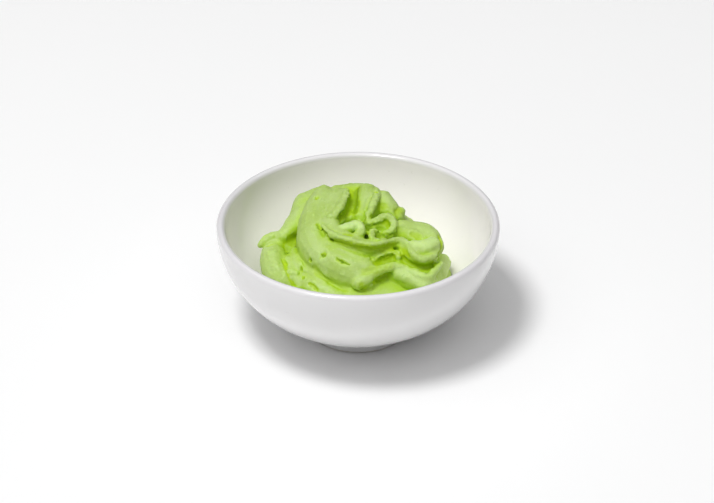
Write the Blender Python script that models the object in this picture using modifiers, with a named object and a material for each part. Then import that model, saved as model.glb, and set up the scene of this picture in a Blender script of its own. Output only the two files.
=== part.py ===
"""A small porcelain bowl with a piped swirl of wasabi paste in it.

Metres, +Z up. The origin is on the surface that the foot ring stands on, under the bowl's
centre. The swirl is seen square on from -Y, and winds anticlockwise seen from above.
"""

import math

import bmesh
import bpy
from mathutils import Vector

MM = 0.001
STAND_IN_GAP = 0.3 * MM  # clear space between the paste and the bowl

# Bowl, a footed bowl of revolution whose wall is a superellipse
RIM_RADIUS = 40 * MM
BOWL_HEIGHT = 35 * MM
WALL = 2.4 * MM
BELLY_DEPTH = 32.8 * MM  # from the rim down to where the belly would close
BELLY_POWER = 2.1  # 2 is an ellipse, and more is fuller
FOOT_RADIUS = 15.5 * MM
FOOT_FLARE = 0.5 * MM  # how much wider the foot is where it leaves the belly
FOOT_WIDTH = 2.6 * MM  # of the flat ring that the bowl stands on
FOOT_RECESS = 1.6 * MM  # how far the base inside the foot ring is raised
FOOT_ROUND = 0.5 * MM
WALL_POINTS = 11
LIP_POINTS = 5
TURN_STEPS = 64

# Paste
HEAP_POINTS = 14
HEAP_TOP = 25 * MM
HEAP_EDGE_RADIUS = 27.5 * MM
HEAP_EDGE_HEIGHT = 14 * MM
HEAP_POWER = 2.0  # how full the heap's dome is
FOLD_SIDES = 3  # bevel resolution of a fold's tube
FOLD_STEPS = 5  # tube rings from one of its points to the next
TIP_REACH = 0.8  # how far a fold's tip is past its last point, in radii there
TIP_THICKNESS = 0.4  # how thick the tip is, as a share of that radius
SOFTNESS = 0.5 * MM  # the size of the finest crease that the fused paste keeps
SOFTEN_PASSES = 2
PASTE_DETAIL = 0.085  # the share of the fused paste's triangles that is kept

# The folds of the swirl, as tubes: (x, y, z, radius) in mm at each turn of the fold.
FOLDS = {
    "big_ribbon": [
        (-9, 17, 30.2, 5.3), (-11, 11.5, 30, 5), (-12.5, 5, 28, 5), (-11.5, -1.5, 26, 5.3),
        (-7.5, -6.5, 24.5, 5.6), (-2, -10, 23.5, 5.2), (2, -12.5, 22.5, 3.8),
    ],
    "ribbon_top": [(-6, 17.5, 31.5, 4), (-7.5, 12, 31, 4), (-9.5, 7, 30, 3.6), (-10, 2, 29, 3)],
    "ribbon_inner_edge": [
        (-3.25, 17.25, 34.5, 1), (-3.5, 13.5, 35, 1.3), (-4.25, 10, 34.75, 1.4),
        (-5.75, 6.25, 34, 1.4), (-7.75, 3.75, 33.25, 1.2),
    ],
    "back_of_groove": [(-6, 19, 29.5, 3.5), (-1, 20, 29.5, 3.5), (4, 19, 29.5, 3.5)],
    "groove_floor": [
        (-2, 23.25, 30.5, 2.8), (-2, 18.75, 30.5, 3.1), (-3, 13.75, 30.25, 3.1),
        (-4.5, 10, 29.75, 2.6), (-2, 9.5, 29.5, 2.4),
    ],
    "top_left_lobe": [
        (-9, 19.5, 30.5, 4), (-13, 19.5, 29.5, 3.6), (-16, 19, 28.5, 3), (-17, 17, 27, 2.2),
    ],
    "second_lobe": [
        (-14.3, 17, 28.5, 3.2), (-16.1, 13.5, 27.5, 3.4), (-18.8, 10.5, 25.3, 3), (-22, 7.5, 24, 2.4),
    ],
    "left_lobe": [
        (-20.5, 10, 23.5, 2.4), (-24, 5, 21.2, 3.3), (-24, 0.5, 21.5, 4), (-23, -4, 20, 4.2),
        (-20, -8.5, 19, 3.8),
    ],
    "left_tip": [
        (-21.5, 8.75, 24.4, 1.5), (-24.5, 8, 24.2, 1.6), (-26.5, 7.25, 23.5, 1.4),
        (-28, 6.75, 22.6, 1.1),
    ],
    "lower_left": [(-18, 2, 22.5, 2), (-17.5, -1.5, 21.5, 3.4), (-15.5, -6, 20.5, 3.6)],
    "lower_left_toe": [
        (-17, -7, 19, 3), (-13, -10.5, 19.5, 3.4), (-9, -13, 19.2, 3.2), (-5, -16, 18.5, 2.8),
    ],
    "lower_left_crease": [(-14.5, -4.5, 22.8, 2.2), (-12, -9, 21.8, 2.2), (-8.5, -12, 21, 2)],
    "left_lump": [(-20, -2, 22.5, 2.2), (-18.5, -6.5, 21, 2.4), (-15.5, -11, 19, 2.2)],
    "hollow_floor": [
        (3, -7.5, 24.5, 2.3), (7.5, -6.5, 25.2, 2.3), (11, -6, 25.8, 2.3), (13.5, -7, 25.5, 2.2),
        (17, -7.5, 24, 2.3),
    ],
    "upper_ribbon": [
        (-8.5, 5, 30.5, 3.2), (-7, 0, 30.2, 3), (-3.5, -3.5, 29.6, 3), (1, -5.5, 29, 2.8),
        (5.5, -5.5, 28.5, 2.6),
    ],
    "centre_bed": [
        (-4, 3, 28, 2.8), (-1, 0, 27.5, 2.6), (5, 0, 27, 2.6), (8.5, 3, 27.8, 2.8), (8, 7, 28.5, 2.8),
    ],
    "small_lip": [
        (2.25, -10.75, 25.5, 0.8), (3.5, -9.5, 26.5, 0.9), (5.5, -8.25, 27.5, 0.95),
        (7.5, -7.5, 28.25, 1), (9.5, -7, 28.5, 1), (11, -7.25, 28.5, 0.95), (11.5, -8.25, 27.5, 0.85),
    ],
    "lower_ridge": [
        (-0.25, -15.25, 23.5, 1.9), (1, -15.25, 24, 1.8), (2.5, -14.25, 24.5, 1.5),
        (4.25, -13, 25.25, 1.3), (6.25, -12, 25.75, 1.25), (8.5, -11, 26, 1.25),
        (10.75, -10.25, 26, 1.2), (12.75, -10.5, 25.5, 1.2), (15, -11.75, 25.25, 1.2),
        (17.5, -13.5, 24.75, 1.2), (19.5, -13.75, 24.5, 1.2), (21.25, -11.5, 25, 1.2),
        (23.25, -7.75, 25.5, 1.1),
    ],
    "lower_right": [
        (10.5, -7.75, 20, 3.6), (14.75, -9, 19.75, 3.7), (18.75, -8.25, 19.5, 3.6),
        (22, -2.75, 18.5, 3.2), (24.25, 6, 17, 2.8),
    ],
    "right_lobe": [
        (11.5, 3.5, 29.5, 2.8), (15, 3.5, 29, 3), (18.5, 3, 28.5, 3.2), (21, 0, 28, 3),
        (22, -3, 27, 2.6),
    ],
    "right_fill": [(13.5, 2, 26, 3), (17, 0.5, 25.5, 3.5), (20, -1.5, 24, 3.3)],
    "back_right_lobe": [
        (6.5, 15, 33, 3), (8.5, 12, 31.5, 3.2), (10.5, 10.5, 30, 2.8), (12, 11, 31, 1.8),
    ],
    "ridge_crest": [
        (5, 16, 35.5, 0.9), (5.25, 12, 35.5, 1.1), (4.5, 9.25, 35, 1.1), (3.5, 6.5, 33.75, 1),
        (2.5, 5.25, 32.5, 0.9),
    ],
    "ridge_face": [
        (3, 19.5, 32.5, 3.1), (2.75, 16.5, 32.25, 3.3), (2.25, 13, 31.5, 3.2), (1.5, 10.25, 30.5, 2.9),
        (0.75, 8, 30, 2.4),
    ],
    "right_petal": [
        (2.75, 3.75, 31.75, 1.1), (4.5, 3.5, 32.25, 1.3), (6.25, 4, 32.75, 1.35), (8, 4.5, 33, 1.35),
        (9.25, 4, 32.75, 1.25), (10, 2.75, 32, 1.2), (10, 1.25, 31.5, 1.2), (9, 0.25, 31, 1.2),
        (7.5, 0, 30.5, 1.1),
    ],
    "left_petal": [
        (-6.5, -0.75, 31.5, 1.1), (-4.5, -0.5, 32, 1.4), (-2.75, 0, 32.25, 1.55),
        (-1, 0.75, 32.5, 1.55), (0.25, 0.75, 32.5, 1.5), (1, -0.5, 32, 1.4), (0.5, -2.25, 31.5, 1.4),
        (-0.75, -3.25, 31, 1.25), (-2.25, -3.25, 30.75, 0.9),
    ],
    "centre_curl": [
        (5.5, 0, 31.5, 0.9), (4.25, -0.25, 31.5, 1), (3.75, -1.5, 31.25, 1.05), (4, -3.5, 31, 1.05),
        (5, -4.5, 30.75, 1), (6.5, -4.75, 30.75, 1), (7.5, -3.5, 30.75, 0.9),
    ],
    "front_apron": [
        (-22, -7, 17, 3.5), (-16, -16, 16, 3.8), (-5, -22, 15.5, 4), (7, -21.5, 15.5, 4),
        (17, -14.5, 15.5, 3.5),
    ],
    "back_outer": [
        (22, 6, 13, 3), (18, 15, 16, 5), (8, 20, 20, 6), (-4, 22, 23, 6.5), (-15, 19, 22, 5.5),
        (-21, 11, 19, 4),
    ],
    "back_ribbon": [(20, 5, 21, 4), (14.5, 12.5, 22.5, 4), (6, 18, 25.5, 4.5), (-3, 20.5, 27, 4.5)],
    "back_inner": [(14, 9, 24, 4), (7, 15, 26, 5), (-2, 16, 27.5, 5)],
    "ridge_shoulder": [
        (4, 17, 33.5, 1.9), (3.75, 13.5, 33.5, 1.9), (3.25, 10.75, 32.75, 1.8),
        (2.5, 8.75, 31.75, 1.6),
    ],
    "lower_ridge_back": [
        (3, -9.75, 22.5, 2), (5.25, -8.25, 23.75, 1.9), (8, -7, 24.5, 1.9), (10.75, -6.5, 24.5, 1.8),
        (13.25, -7.5, 24.25, 1.8), (15.75, -9, 23.75, 1.8), (18.75, -9.75, 23.5, 1.8),
        (21.25, -7.5, 23.5, 1.8),
    ],
    "right_lobe_fill": [(14.5, 5, 28.75, 2.6), (17, 4.25, 28.5, 2.6), (19.5, 2.5, 27.5, 2.4)],
    "right_petal_floor": [(6, 4.75, 30.5, 1.6), (7.75, 3.75, 30.75, 1.7), (9, 4.25, 30.5, 1.5)],
    "left_petal_floor": [(-3, 1, 29.5, 1.6), (-1.25, 1.5, 30, 1.7), (-0.25, 2, 30, 1.6)],
    "lip_crest": [
        (-10, 0.25, 32.75, 0.8), (-8, -3.25, 32.5, 1), (-5.5, -5.5, 32.25, 1.1), (-2.5, -7, 32, 1.15),
        (1, -8, 31.5, 1.15), (4.25, -8.5, 31.5, 1.15), (7, -7.25, 31.25, 1.1), (9.5, -5, 31, 1.1),
        (11.5, -4, 30.75, 1.1), (13, -4.5, 30.5, 1.1), (14.25, -6.75, 30, 1.1),
        (15.25, -9, 29.25, 1.1), (17.5, -10.25, 28.5, 1.1), (20, -9.75, 28.5, 1.1),
        (22, -7.5, 28.5, 1), (23, -4.5, 28.75, 0.9), (23.5, -1.5, 28.75, 0.8),
    ],
    "lip_face": [
        (-7.75, -2, 31.25, 1.3), (-5, -4.5, 30.75, 1.5), (-1.75, -6.25, 30.5, 1.5), (1.5, -7, 30, 1.5),
        (5, -7, 29.75, 1.5), (7.75, -5.75, 29.75, 1.5), (10, -4, 29.5, 1.5),
        (11.75, -3.75, 29.25, 1.5), (13, -5.75, 28.75, 1.5), (14.5, -8.25, 28, 1.4),
        (17.5, -9.5, 27.25, 1.3), (20.25, -8.75, 27, 1.3),
    ],
    "pool": [
        (14.75, -4.75, 28.75, 1.8), (17, -6, 28.75, 2.2), (19.5, -5.5, 28.5, 2.4),
        (21.5, -3.5, 28.5, 2.1),
    ],
    "right_bed": [
        (13.25, 3, 28.5, 3), (15.75, 0.5, 28.25, 3), (18.25, -0.25, 27, 3), (21.25, 0.25, 25, 2.6),
    ],
    "left_shoulder": [
        (-15, 20, 29.5, 3), (-16.5, 16.5, 28.5, 2.9), (-17.25, 14.5, 27, 2.7), (-18, 12.5, 25.75, 2.4),
        (-18.5, 11, 25, 1.8),
    ],
    "left_groove_floor": [
        (-17.5, 11.75, 22.55, 2.4), (-18.75, 9, 22.05, 2.6), (-20.25, 5.5, 21.3, 2.4),
    ],
    "left_tip_under": [(-21.25, 7, 22.5, 1.8), (-23.5, 7.25, 22.2, 1.4), (-25.25, 7.5, 21.75, 0.8)],
    "right_hollow_floor": [
        (12.75, -5.5, 25.75, 2), (15, -7.5, 25.5, 2.2), (17.75, -8.25, 24.75, 2.2),
        (20.75, -6.5, 24.5, 2),
    ],
    "lower_face": [
        (5.25, -11.25, 20.5, 2.2), (7.75, -9.25, 21.5, 2.3), (10, -9.25, 22.5, 2.5),
        (12.75, -10.25, 22.5, 2.8), (15.75, -11.75, 22, 2.8), (19.25, -11.75, 21.5, 2.6),
    ],
    "ribbon_front": [
        (-10.5, -2, 26, 3), (-8, -6, 26.3, 3), (-4, -9, 26.2, 3.1), (0.5, -10.5, 25.8, 3),
        (4, -11, 25.2, 2.4), (6.5, -10.5, 24.8, 1.8),
    ],
    "back_rim": [(-7, 21, 31, 2.5), (-2, 21.5, 31.2, 2.6), (2, 21, 31.4, 2.6), (5, 19.5, 31.5, 2.4)],
    "ribbon_top_inner": [
        (-5, 17.5, 33.2, 2), (-5.5, 13.5, 33.4, 2.2), (-6.5, 9.5, 33, 2.2), (-8, 6, 32.2, 2),
    ],
    "lower_face_top": [
        (11, -11, 24.2, 1.9), (13, -12, 23.8, 1.9), (15.5, -13, 23.2, 1.9), (18, -14.2, 22.6, 1.9),
        (20.5, -12.5, 22.8, 1.9),
    ],
}
# The thin folds that stand up from the swirl. Each is carried by wider layers under it, which
# lie this many radii lower and are this many times as thick.
CRESTS = {
    "ribbon_inner_edge", "ridge_crest", "right_petal", "left_petal", "centre_curl", "small_lip",
}
SKIRT = ((1.1, 1.1), (2.3, 1.3), (3.6, 1.6))


def clear_scene():
    for old in list(bpy.data.objects):
        bpy.data.objects.remove(old, do_unlink=True)


def new_collection(name):
    collection = bpy.data.collections.new(name)
    bpy.context.scene.collection.children.link(collection)
    return collection


def new_object(name, data, collection):
    made = bpy.data.objects.new(name, data)
    collection.objects.link(made)
    return made


def new_material(name, colour, roughness, subsurface):
    material = bpy.data.materials.new(name)
    material.use_nodes = True
    shader = material.node_tree.nodes["Principled BSDF"]
    shader.inputs["Base Color"].default_value = (*colour, 1)
    shader.inputs["Roughness"].default_value = roughness
    shader.inputs["Metallic"].default_value = 0
    shader.inputs["Subsurface Weight"].default_value = subsurface
    material.diffuse_color = (*colour, 1)
    return material


def belly_curve(radius, depth, start, end, count):
    """(radius, depth) points of a quarter superellipse, from the depth start to the depth end."""
    first = math.asin((start / depth) ** (BELLY_POWER / 2))
    last = math.asin((end / depth) ** (BELLY_POWER / 2))
    points = []
    for i in range(count + 1):
        turn = first + (last - first) * i / count
        across = max(math.cos(turn), 0) ** (2 / BELLY_POWER)
        down = math.sin(turn) ** (2 / BELLY_POWER)
        points.append((radius * across, depth * down))
    return points


def depth_at_radius(radius, full_radius, full_depth):
    share = 1 - (radius / full_radius) ** BELLY_POWER
    return full_depth * share ** (1 / BELLY_POWER)


def inner_wall(gap, count):
    """(radius, height) up the bowl's inner wall, the gap inside it, from the floor's centre to the lip."""
    radius = RIM_RADIUS - WALL - gap
    depth = BELLY_DEPTH - WALL - gap
    points = belly_curve(radius, depth, WALL / 2, depth, count)
    return [(r, BOWL_HEIGHT - d) for r, d in reversed(points)]


def lip_arc(count):
    middle = RIM_RADIUS - WALL / 2
    turns = [math.pi * (1 - i / count) for i in range(1, count)]
    return [(middle + WALL / 2 * math.cos(t), BOWL_HEIGHT - WALL / 2 + WALL / 2 * math.sin(t)) for t in turns]


def outer_wall(count):
    """(radius, height) down the bowl's outside, from the lip to the foot."""
    foot_top = FOOT_RADIUS + FOOT_FLARE
    lowest = depth_at_radius(foot_top, RIM_RADIUS, BELLY_DEPTH)
    points = belly_curve(RIM_RADIUS, BELLY_DEPTH, WALL / 2, lowest, count)
    return [(r, BOWL_HEIGHT - d) for r, d in points]


def foot_ring():
    inside = FOOT_RADIUS - FOOT_WIDTH
    return [
        (FOOT_RADIUS, FOOT_ROUND),
        (FOOT_RADIUS - FOOT_ROUND, 0),
        (inside, 0),
        (inside - FOOT_ROUND, FOOT_ROUND),
        (inside - FOOT_ROUND, FOOT_RECESS),
        (0, FOOT_RECESS),
    ]


def turned(name, profile, collection):
    """A mesh of revolution about Z from (radius, height) points that run down its outer side."""
    mesh = bpy.data.meshes.new(name)
    corners = [(r, 0, z) for r, z in profile]
    mesh.from_pydata(corners, [(i, i + 1) for i in range(len(corners) - 1)], [])
    made = new_object(name, mesh, collection)
    screw = made.modifiers.new("Turn", "SCREW")
    screw.steps = TURN_STEPS
    screw.render_steps = TURN_STEPS
    screw.use_merge_vertices = True
    screw.merge_threshold = 0.01 * MM
    return made


def make_bowl(collection):
    profile = inner_wall(0, WALL_POINTS) + lip_arc(LIP_POINTS) + outer_wall(WALL_POINTS) + foot_ring()
    bowl = turned("bowl", profile, collection)
    porcelain = new_material("porcelain", (0.86, 0.86, 0.86), 0.12, 0)
    bowl.data.materials.append(porcelain)
    bowl.data.shade_smooth()
    return bowl


def with_round_ends(points):
    """The fold's points as vectors and radii, with one thin point more past each end."""
    knots = [(Vector((x, y, z)), radius) for x, y, z, radius in points]

    def tip(end, before):
        ahead = (end[0] - before[0]).normalized()
        return end[0] + ahead * end[1] * TIP_REACH, end[1] * TIP_THICKNESS

    return [tip(knots[0], knots[1]), *knots, tip(knots[-1], knots[-2])]


def fold_curve(name, points):
    """A curve whose tube is as thick as the fold at each of its points."""
    knots = with_round_ends(points)
    curve = bpy.data.curves.new(name, "CURVE")
    curve.dimensions = "3D"
    curve.bevel_depth = MM
    curve.bevel_resolution = FOLD_SIDES
    curve.resolution_u = FOLD_STEPS
    curve.use_fill_caps = True
    spline = curve.splines.new("BEZIER")
    spline.bezier_points.add(len(knots) - 1)
    for knot, (place, radius) in zip(spline.bezier_points, knots):
        knot.co = place * MM
        knot.radius = radius
        knot.handle_left_type = "AUTO"
        knot.handle_right_type = "AUTO"
    return curve


def evaluated_mesh(source):
    graph = bpy.context.evaluated_depsgraph_get()
    return bpy.data.meshes.new_from_object(source.evaluated_get(graph))


def make_fold(name, points, collection):
    guide = new_object(name + "_guide", fold_curve(name, points), collection)
    mesh = evaluated_mesh(guide)
    weld_caps(mesh)
    bpy.data.objects.remove(guide)
    return new_object(name, mesh, collection)


def layers(name, points):
    """The fold's own points and, for a crest, those of the layers that carry it."""
    skirt = SKIRT if name in CRESTS else ()
    return [points] + [[(x, y, z - drop * r, r * grown) for x, y, z, r in points] for drop, grown in skirt]


def weld_caps(mesh):
    shape = bmesh.new()
    shape.from_mesh(mesh)
    bmesh.ops.remove_doubles(shape, verts=shape.verts, dist=0.01 * MM)
    bmesh.ops.recalc_face_normals(shape, faces=shape.faces)
    shape.to_mesh(mesh)
    shape.free()


def heap_profile():
    """(radius, height) down the heap's dome to its edge, then straight down past the bowl's floor."""
    height = HEAP_TOP - HEAP_EDGE_HEIGHT
    points = []
    for i in range(HEAP_POINTS + 1):
        share = math.sin(math.pi / 2 * i / HEAP_POINTS)
        points.append((HEAP_EDGE_RADIUS * share, HEAP_EDGE_HEIGHT + height * (1 - share**HEAP_POWER)))
    return points + [(HEAP_EDGE_RADIUS, 0), (0, 0)]


def cavity_profile():
    """(radius, height) of the room inside the bowl, less the gap, carried straight up past the paste."""
    wall = inner_wall(STAND_IN_GAP, WALL_POINTS)
    ceiling = 2 * BOWL_HEIGHT
    return [(0, ceiling), (wall[-1][0], ceiling)] + wall[::-1]


def add_boolean(target, operation, solver):
    cut = target.modifiers.new(operation.title(), "BOOLEAN")
    cut.operation = operation
    cut.solver = solver
    return cut


def make_paste(collection, helpers):
    paste = turned("wasabi_paste", heap_profile(), collection)
    folds = new_collection("folds")
    for name, points in FOLDS.items():
        for layer in layers(name, points):
            make_fold(name, layer, folds)
    joined = add_boolean(paste, "UNION", "MANIFOLD")
    joined.operand_type = "COLLECTION"
    joined.collection = folds
    fused = paste.modifiers.new("Fuse", "REMESH")
    fused.mode = "VOXEL"
    fused.voxel_size = SOFTNESS
    soften = paste.modifiers.new("Soften", "SMOOTH")
    soften.factor = 0.5
    soften.iterations = SOFTEN_PASSES
    thin = paste.modifiers.new("Thin out", "DECIMATE")
    thin.ratio = PASTE_DETAIL
    trim = add_boolean(paste, "INTERSECT", "EXACT")
    trim.object = turned("cavity", cavity_profile(), helpers)
    bake(paste)
    for fold in list(folds.objects):
        bpy.data.objects.remove(fold)
    bpy.data.collections.remove(folds)
    green = new_material("wasabi", (0.40, 0.60, 0.13), 0.55, 0.3)
    paste.data.materials.clear()
    paste.data.materials.append(green)
    paste.data.shade_smooth()
    return paste


def bake(target):
    """Applies the modifiers, so that their helpers can go."""
    mesh = evaluated_mesh(target)
    mesh.name = target.name
    target.modifiers.clear()
    target.data = mesh


def hide_helpers(collection):
    collection.hide_render = True
    for helper in collection.objects:
        helper.hide_render = True
        helper.display_type = "WIRE"


clear_scene()
parts = new_collection("wasabi_bowl")
cutters = new_collection("cutters")
make_bowl(parts)
make_paste(parts, cutters)
hide_helpers(cutters)
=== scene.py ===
"""Looks of a small porcelain bowl with a piped swirl of wasabi paste in it.

Metres, +Z up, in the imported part's own frame. The swirl is seen square on from -Y.
"""

import math

import bmesh
import bpy
import numpy as np
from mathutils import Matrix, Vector, noise
from mathutils.bvhtree import BVHTree


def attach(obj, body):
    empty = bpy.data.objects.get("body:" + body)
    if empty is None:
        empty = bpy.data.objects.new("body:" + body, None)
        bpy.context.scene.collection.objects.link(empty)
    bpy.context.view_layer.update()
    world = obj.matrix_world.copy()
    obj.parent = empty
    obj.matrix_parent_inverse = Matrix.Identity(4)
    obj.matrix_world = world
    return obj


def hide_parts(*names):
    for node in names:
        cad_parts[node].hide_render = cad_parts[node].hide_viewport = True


MM = 0.001

# The bowl, as in the solids
RIM_RADIUS = 40 * MM
BOWL_HEIGHT = 35 * MM
WALL = 2.4 * MM
BELLY_DEPTH = 32.8 * MM
BELLY_POWER = 2.1
FOOT_RADIUS = 15.5 * MM
FOOT_FLARE = 0.5 * MM
FOOT_WIDTH = 2.6 * MM
FOOT_RECESS = 1.6 * MM
GAP = 0.3 * MM

# The bowl's finer shape: the fillet where glaze pools above the foot, and the foot's rounded edges
FILLET = 0.8 * MM
FOOT_EDGE = 0.5 * MM

# The foot is bare of glaze lower than this and further out than this.
BARE_BELOW = 0.45 * MM
BARE_INSIDE = 12 * MM

# The paste's heap, as in the solids
HEAP_TOP = 25 * MM
HEAP_EDGE_RADIUS = 27.5 * MM
HEAP_EDGE_HEIGHT = 14 * MM

# A fold's rounded end, as shares of its radius there
TIP_REACH = 0.8
TIP_THICKNESS = 0.4

# How finely it is all made
BOWL_STEPS = 192
WALL_POINTS = 36
RIM_POINTS = 14
CORNER_POINTS = 5
HEAP_STEPS = 96
HEAP_POINTS = 40
FOLD_BEVEL = 6
FOLD_RESOLUTION = 10
MERGE_DISTANCE = 0.001 * MM
PASTE_GRAIN = 0.32 * MM
SOFTEN_SHARE = 0.5
SOFTEN_PASSES = 3
MOST_TRIANGLES = 190_000

# Each seed moves the noise on by this.
SEED_STEP = (17.3, 5.9, 11.1)

# The paste's relief: (height, size of its lumps, seed, octaves of noise)
WAVES = (0.40 * MM, 6 * MM, 1, 1)
LUMPS = (0.11 * MM, 2 * MM, 2, 1)
TORN_CRESTS = (0.30 * MM, 1 * MM, 3, 1)
CRINKLED_LIPS = (0.20 * MM, 1.3 * MM, 6, 1)
CRUMB = (0.08 * MM, 0.8 * MM, 4, 2)

# How ragged the limits of regions and marks are: (share of the radius, size of the lumps, seed)
RAGGED = (0.3, 1.6 * MM, 5)

# Nearness to a course runs from 0 at its radius to 1 on it. Between these two values of it a change goes
# from nothing to full: the tearing of a crest, whose radius is taken TORN_MARGIN mm larger for it, and the
# painted shading (painted shade, or painted light where it is below 0) and the depth of regions and marks.
TORN_MARGIN = 0.5
TORN_NEAR = (0, 0.4)
REGION_SHADING_NEAR = (0, 0.45)
REGION_DEEP_NEAR = (0, 0.8)
MARK_SHADING_NEAR = (0.1, 0.5)
MARK_DEEP_NEAR = (0, 0.9)

# How far the surface stands out of its surroundings where a lip, or an edge that gets a painted
# highlight, starts and is full
LIP_RISE = (0.03 * MM, 0.12 * MM)
EDGE_RISE = (0.02 * MM, 0.16 * MM)

# Passes of averaging with the neighbours. The first two find the surroundings of lips and of edges, and the
# others smooth which points are lips, the regions' painted shading and how hidden each point is, for its
# painted shade.
LIP_SURROUNDINGS = 14
EDGE_SURROUNDINGS = 10
LIP_PASSES = 2
SHADING_PASSES = 3
HIDDEN_PASSES = 4

# The rays that find what hides a point: how far they go, how many mm off the paste they start, how much
# less the farthest hit counts, and their rings as (share of the light from inside the ring, rays)
REACH = 9 * MM
RAY_LIFT = 0.1
FAR_LOSS = 0.5
RAY_RINGS = ((0.2, 3), (0.5, 5), (0.8, 6))

# Colours, as linear red, green and blue, and how bright the glaze's clouds are beside its white
# One white glaze, darker outside as painted shade, and inside brighter and less green as painted light
OUTER_GLAZE_PAINTED_SHADE = (0.860, 0.852, 0.855)
INNER_GLAZE_PAINTED_LIGHT = (0.990, 0.930, 0.995)
CLOUDED = 0.975
RIM_GREY = (0.800, 0.785, 0.800, 1)
PINHOLE = (0.55, 0.53, 0.50, 1)
BISCUIT = ((0.60, 0.57, 0.52, 1), (0.74, 0.71, 0.66, 1))
FLOOR = ((0.925, 0.925, 0.925, 1), (0.94, 0.94, 0.94, 1))
PASTE = ((0.395, 0.555, 0.115, 1), (0.485, 0.645, 0.215, 1))
PALE_FLECK = (0.61, 0.76, 0.34, 1)
DARK_FLECK = (0.24, 0.44, 0.02, 1)
# Painted highlight along the crests
PAINTED_CREST_HIGHLIGHT = (0.53, 0.73, 0.21, 1)
# Painted light on faces that catch the light
PAINTED_LIT_FACE = (0.60, 0.79, 0.29, 1)
# Painted shade where the paste hides itself from the light, deepest in creases
SHADED = (0.44, 0.64, 0.04, 1)
PAINTED_CREASE_SHADE = (0.39, 0.61, 0.010, 1)
PAINTED_DEEP_CREASE_SHADE = (0.17, 0.31, 0.004, 1)
# Green painted shade in hollows, under overhangs and on shaded flanks, then darker still
PAINTED_SHADE_GREEN = (0.40, 0.60, 0.002, 1)
PAINTED_DARK_SHADE = (0.15, 0.28, 0.004, 1)

# The glaze turns greyer between these heights, over the rim.
RIM_GREY_HEIGHTS = (BOWL_HEIGHT - 1.6 * MM, BOWL_HEIGHT - 0.4 * MM)

# The camera stands CAMERA_DISTANCE from a point at the rim's height, CAMERA_LEFT of the bowl's middle. It
# looks down by LOOK_DOWN to face that point, and by AIM_BELOW more. The lens and the sensor are in mm.
CAMERA_DISTANCE = 0.56
CAMERA_LEFT = 0.31 * MM
LOOK_DOWN = math.radians(31.3)
AIM_BELOW = math.radians(0.912)
LENS = 100.12
SENSOR = 36
CLIP_START = 0.01

# The floor's side
FLOOR_SIDE = 6

# The key lamp's power to each steradian, its place and its radius, and the strength of the room's light
KEY_LIGHT = 1.72
KEY_PLACE = (-0.150, -0.169, 0.575)
KEY_RADIUS = 0.078
ROOM_LIGHT = 0.035

# Far lamps: strength, then in degrees the disc's width, the height above the horizon and the bearing, which
# turns from +X to +Y
FAR_LAMPS = {"fill": (0.30, 60, 40, 245), "overhead": (1.39, 96, 83, 240)}

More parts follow.
